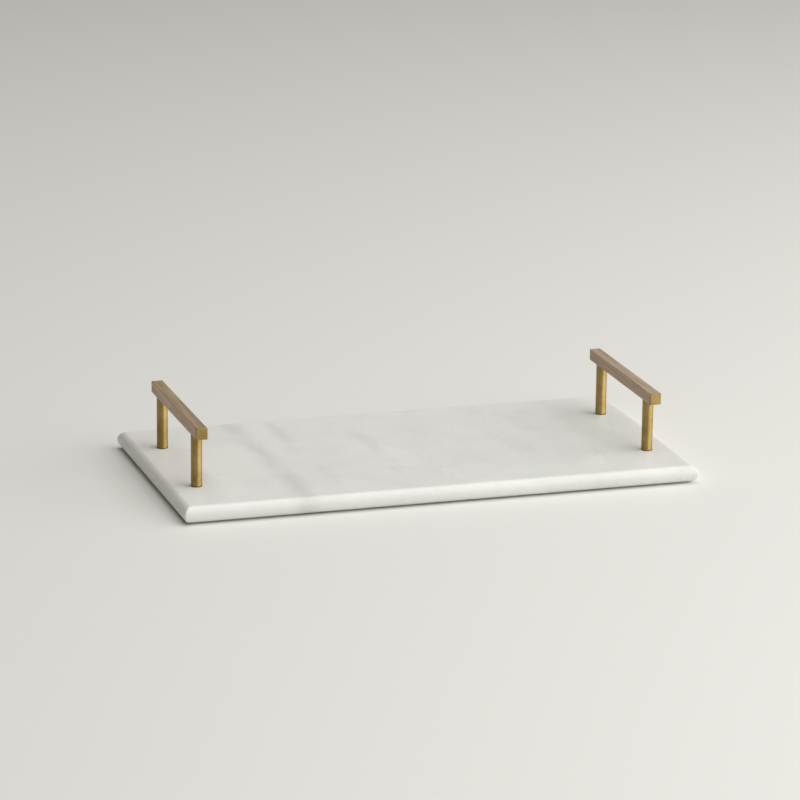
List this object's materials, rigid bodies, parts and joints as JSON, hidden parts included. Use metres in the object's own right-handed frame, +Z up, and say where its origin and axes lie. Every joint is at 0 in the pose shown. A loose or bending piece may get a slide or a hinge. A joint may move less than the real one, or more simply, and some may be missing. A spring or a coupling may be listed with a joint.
{
  "type": "vanity tray",
  "caption": "Rectangular marble tray with half-round edges and a raised bar handle on round brass posts at each end, to stand perfume bottles on.",
  "frame": {"origin": "middle of the tray, on the surface that its feet stand on", "axes": "+X along the tray from the left handle to the right one, +Y to the back, +Z up"},
  "size_m": [0.503, 0.26, 0.078],
  "materials": {
    "marble": "satin",
    "brass": "satin",
    "handle_wood": "satin",
    "steel": "satin",
    "gasket_rubber": "matte",
    "foot_rubber": "matte"
  },
  "bodies": {
    "root": {"marble_slab": "marble", "left_handle_bar": "handle_wood", "right_handle_bar": "handle_wood", "left_front_post": "brass", "left_back_post": "brass", "right_front_post": "brass", "right_back_post": "brass", "left_front_post_gasket": "gasket_rubber", "left_back_post_gasket": "gasket_rubber", "right_front_post_gasket": "gasket_rubber", "right_back_post_gasket": "gasket_rubber", "left_front_post_screw": "steel", "left_back_post_screw": "steel", "right_front_post_screw": "steel", "right_back_post_screw": "steel", "left_front_screw_washer": "steel", "left_back_screw_washer": "steel", "right_front_screw_washer": "steel", "right_back_screw_washer": "steel", "left_front_bar_stud": "steel", "left_back_bar_stud": "steel", "right_front_bar_stud": "steel", "right_back_bar_stud": "steel", "left_front_bar_insert": "brass", "left_back_bar_insert": "brass", "right_front_bar_insert": "brass", "right_back_bar_insert": "brass", "left_front_end_cap": "brass", "left_back_end_cap": "brass", "right_front_end_cap": "brass", "right_back_end_cap": "brass", "left_front_foot": "foot_rubber", "left_back_foot": "foot_rubber", "right_front_foot": "foot_rubber", "right_back_foot": "foot_rubber"}
  },
  "joints": []
}
